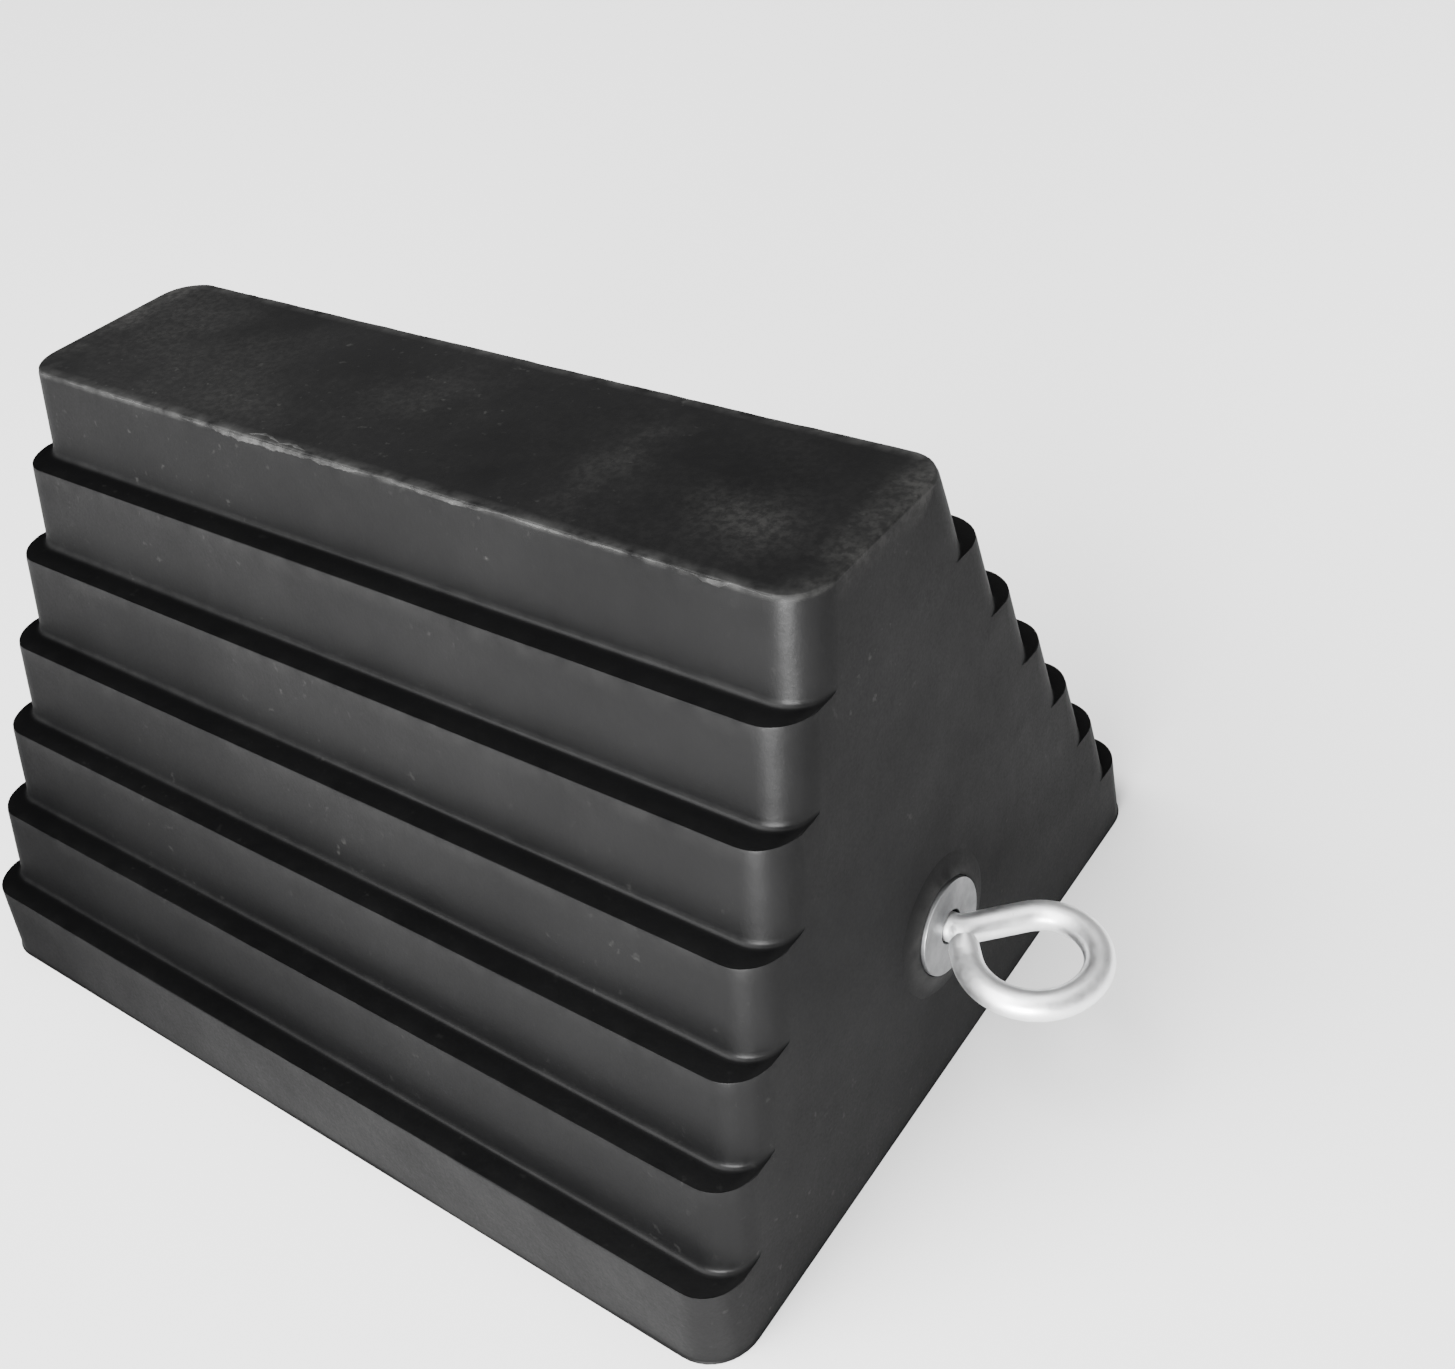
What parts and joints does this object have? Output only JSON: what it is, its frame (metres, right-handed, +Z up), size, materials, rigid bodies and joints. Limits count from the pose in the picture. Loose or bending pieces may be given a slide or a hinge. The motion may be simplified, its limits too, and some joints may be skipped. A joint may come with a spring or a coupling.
{
  "type": "wheel chock",
  "caption": "Stepped rubber wheel chock with a bent eye bolt that runs through it and turns in its bore, for a chain or rope.",
  "frame": {"origin": "middle of the flat base, on the surface the chock rests on", "axes": "+X along the block towards the eye, -Y and +Y out of the two stepped sides that meet a tyre, +Z up"},
  "size_m": [0.2979, 0.2008, 0.15],
  "materials": {
    "moulded_rubber": "satin black moulded rubber, dusty and slightly scuffed",
    "bright_zinc": "bright zinc plated, lightly drawn along the rod",
    "dull_zinc": "dull zinc plated, stamped",
    "nylon": "off-white nylon"
  },
  "bodies": {
    "block": {"rubber_body": "moulded_rubber", "front_washer": "dull_zinc", "rear_washer": "dull_zinc"},
    "eye": {"eye_bolt": "bright_zinc", "lock_nut": "dull_zinc", "nylon_ring": "nylon"}
  },
  "joints": [
    {"name": "eye_turn", "type": "hinge", "parent": "block", "child": "eye", "pos_m": [0.1293, 0, 0.043], "axis": [1, 0, 0], "continuous": true}
  ]
}
